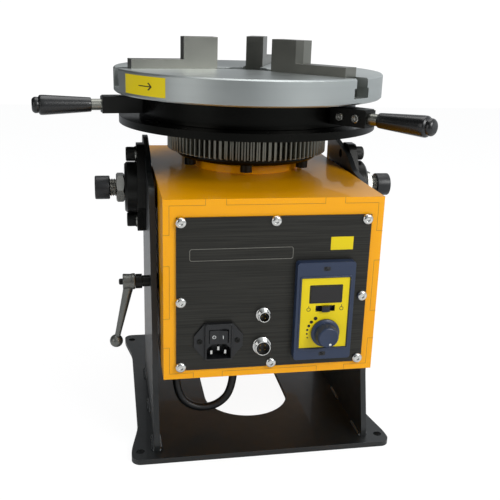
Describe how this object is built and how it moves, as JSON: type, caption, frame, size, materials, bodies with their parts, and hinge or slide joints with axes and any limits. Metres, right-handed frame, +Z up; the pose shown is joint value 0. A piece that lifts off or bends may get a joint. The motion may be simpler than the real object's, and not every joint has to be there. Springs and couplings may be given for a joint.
{
  "type": "welding positioner",
  "caption": "Bench welding positioner: geared rotating table with a three-jaw scroll chuck on a head that tilts between two uprights on a bolt-down base plate.",
  "frame": {"origin": "centre of the base plate's bolt pattern, on its underside", "axes": "+Z up, +X to the right of someone who faces the control panel, +Y to the back; the control panel faces -Y"},
  "size_m": [0.4091, 0.4177, 0.4291],
  "materials": {
    "yellow_paint": "gloss enamel",
    "black_paint": "satin powder coat",
    "black_steel": "blackened, turned",
    "bright_steel": "machined",
    "gear_steel": "cut teeth, oiled",
    "zinc": "zinc plated",
    "chuck_aluminium": "fine turned",
    "bronze": "turned bronze",
    "motor_metal": "cast",
    "black_plastic": "moulded",
    "gloss_black_plastic": "moulded, polished",
    "panel_black": "brushed and black anodised",
    "navy_plastic": "moulded",
    "yellow_label": "printed face plate",
    "display_dark": "smoked window",
    "chrome": "chrome plated",
    "cable_rubber": "smooth sheath"
  },
  "bodies": {
    "base": {"base_plate": "black_paint", "left_upright": "black_paint", "right_upright": "black_paint", "trunnion_hubs": "black_steel", "trunnion_bushes": "bronze", "hub_screws": "black_steel", "hub_washers": "zinc", "clamp_sleeve": "black_steel"},
    "head": {"front_plate": "yellow_paint", "back_plate": "yellow_paint", "top_plate": "yellow_paint", "bottom_plate": "yellow_paint", "left_plate": "yellow_paint", "right_plate": "yellow_paint", "trunnion_studs": "zinc", "trunnion_bosses": "yellow_paint", "thrust_washers": "bronze", "trunnion_nuts": "zinc", "spindle_housing": "yellow_paint", "bearing_cups": "bright_steel", "bearing_cover": "bright_steel", "gearhead": "motor_metal", "drive_motor": "motor_metal", "control_panel": "panel_black", "panel_screws": "bright_steel", "inlet_housing": "black_plastic", "inlet_pins": "zinc", "panel_sockets": "chrome", "socket_inserts": "black_plastic", "controller_bezel": "navy_plastic", "controller_face": "yellow_label", "display_window": "display_dark", "cable_glands": "black_plastic", "loop_cable": "cable_rubber"},
    "left_knob": {"left_knob": "gloss_black_plastic"},
    "right_knob": {"right_knob": "gloss_black_plastic"},
    "clamp_screw": {"clamp_stud": "zinc", "lever_screw": "black_steel"},
    "clamp_handle": {"clamp_lever": "zinc", "lever_ball": "zinc"},
    "table": {"spindle": "bright_steel", "bearing_cones": "bright_steel", "spindle_locknut": "black_steel", "table_gear": "gear_steel", "gear_clamp_ring": "black_steel", "table_screws": "black_steel", "back_flange": "black_steel", "chuck_body": "chuck_aluminium"},
    "pinion": {"drive_pinion": "gear_steel", "output_shaft": "bright_steel"},
    "ring": {"scroll_ring": "black_steel", "handle_lugs": "black_steel", "handle_links": "bright_steel", "handle_grips": "gloss_black_plastic"},
    "jaw_1": {"jaw_1": "bright_steel"},
    "jaw_2": {"jaw_2": "bright_steel"},
    "jaw_3": {"jaw_3": "bright_steel"},
    "rocker": {"power_rocker": "gloss_black_plastic"},
    "slider": {"direction_switch": "black_plastic"},
    "dial": {"speed_dial": "navy_plastic"}
  },
  "joints": [
    {"name": "head_tilt", "type": "hinge", "parent": "base", "child": "head", "pos_m": [0, -0.0035, 0.2625], "axis": [-1, 0, 0], "range_deg": [0, 90]},
    {"name": "left_knob_turn", "type": "hinge", "parent": "head", "child": "left_knob", "pos_m": [-0.15, -0.0035, 0.2625], "axis": [-1, 0, 0], "range_deg": [-180, 180]},
    {"name": "right_knob_turn", "type": "hinge", "parent": "head", "child": "right_knob", "pos_m": [0.15, -0.0035, 0.2625], "axis": [1, 0, 0], "range_deg": [-180, 180]},
    {"name": "clamp_turn", "type": "hinge", "parent": "base", "child": "clamp_screw", "pos_m": [-0.13, -0.095, 0.182], "axis": [-1, 0, 0], "range_deg": [-90, 90]},
    {"name": "lever_lift", "type": "slide", "parent": "clamp_screw", "child": "clamp_handle", "axis": [-1, 0, 0], "range_m": [0, 0.004], "stiffness_N_per_m": 1500},
    {"name": "table_turn", "type": "hinge", "parent": "head", "child": "table", "pos_m": [0, 0.005, 0.35], "axis": [0, 0, 1], "continuous": true},
    {"name": "pinion_turn", "type": "hinge", "parent": "head", "child": "pinion", "pos_m": [-0.06, 0.096, 0.32], "axis": [0, 0, 1], "continuous": true},
    {"name": "ring_turn", "type": "hinge", "parent": "table", "child": "ring", "pos_m": [0, 0.005, 0.357], "axis": [0, 0, 1], "range_deg": [-720, 360]},
    {"name": "jaw_1_slide", "type": "slide", "parent": "table", "child": "jaw_1", "axis": [0.6428, -0.766, 0], "range_m": [-0.02001, 0.01001]},
    {"name": "jaw_2_slide", "type": "slide", "parent": "table", "child": "jaw_2", "axis": [0.342, 0.9397, 0], "range_m": [-0.02001, 0.01001]},
    {"name": "jaw_3_slide", "type": "slide", "parent": "table", "child": "jaw_3", "axis": [-0.9848, -0.1736, 0], "range_m": [-0.02001, 0.01001]},
    {"name": "rocker_tip", "type": "hinge", "parent": "head", "child": "rocker", "pos_m": [-0.0546, -0.1705, 0.1486], "axis": [0, 0, 1], "range_deg": [0, 16]},
    {"name": "switch_slide", "type": "slide", "parent": "head", "child": "slider", "axis": [1, 0, 0], "range_m": [-0.0045, 0.0045]},
    {"name": "dial_turn", "type": "hinge", "parent": "head", "child": "dial", "pos_m": [0.0528, -0.18, 0.1495], "axis": [0, -1, 0], "range_deg": [0, 300]}
  ],
  "couplings": [
    {"joint": "pinion_turn", "follows": "table_turn", "ratio": -4.45},
    {"joint": "jaw_1_slide", "follows": "ring_turn", "m_per_rad": 0.0015915},
    {"joint": "jaw_2_slide", "follows": "ring_turn", "m_per_rad": 0.0015915},
    {"joint": "jaw_3_slide", "follows": "ring_turn", "m_per_rad": 0.0015915}
  ]
}
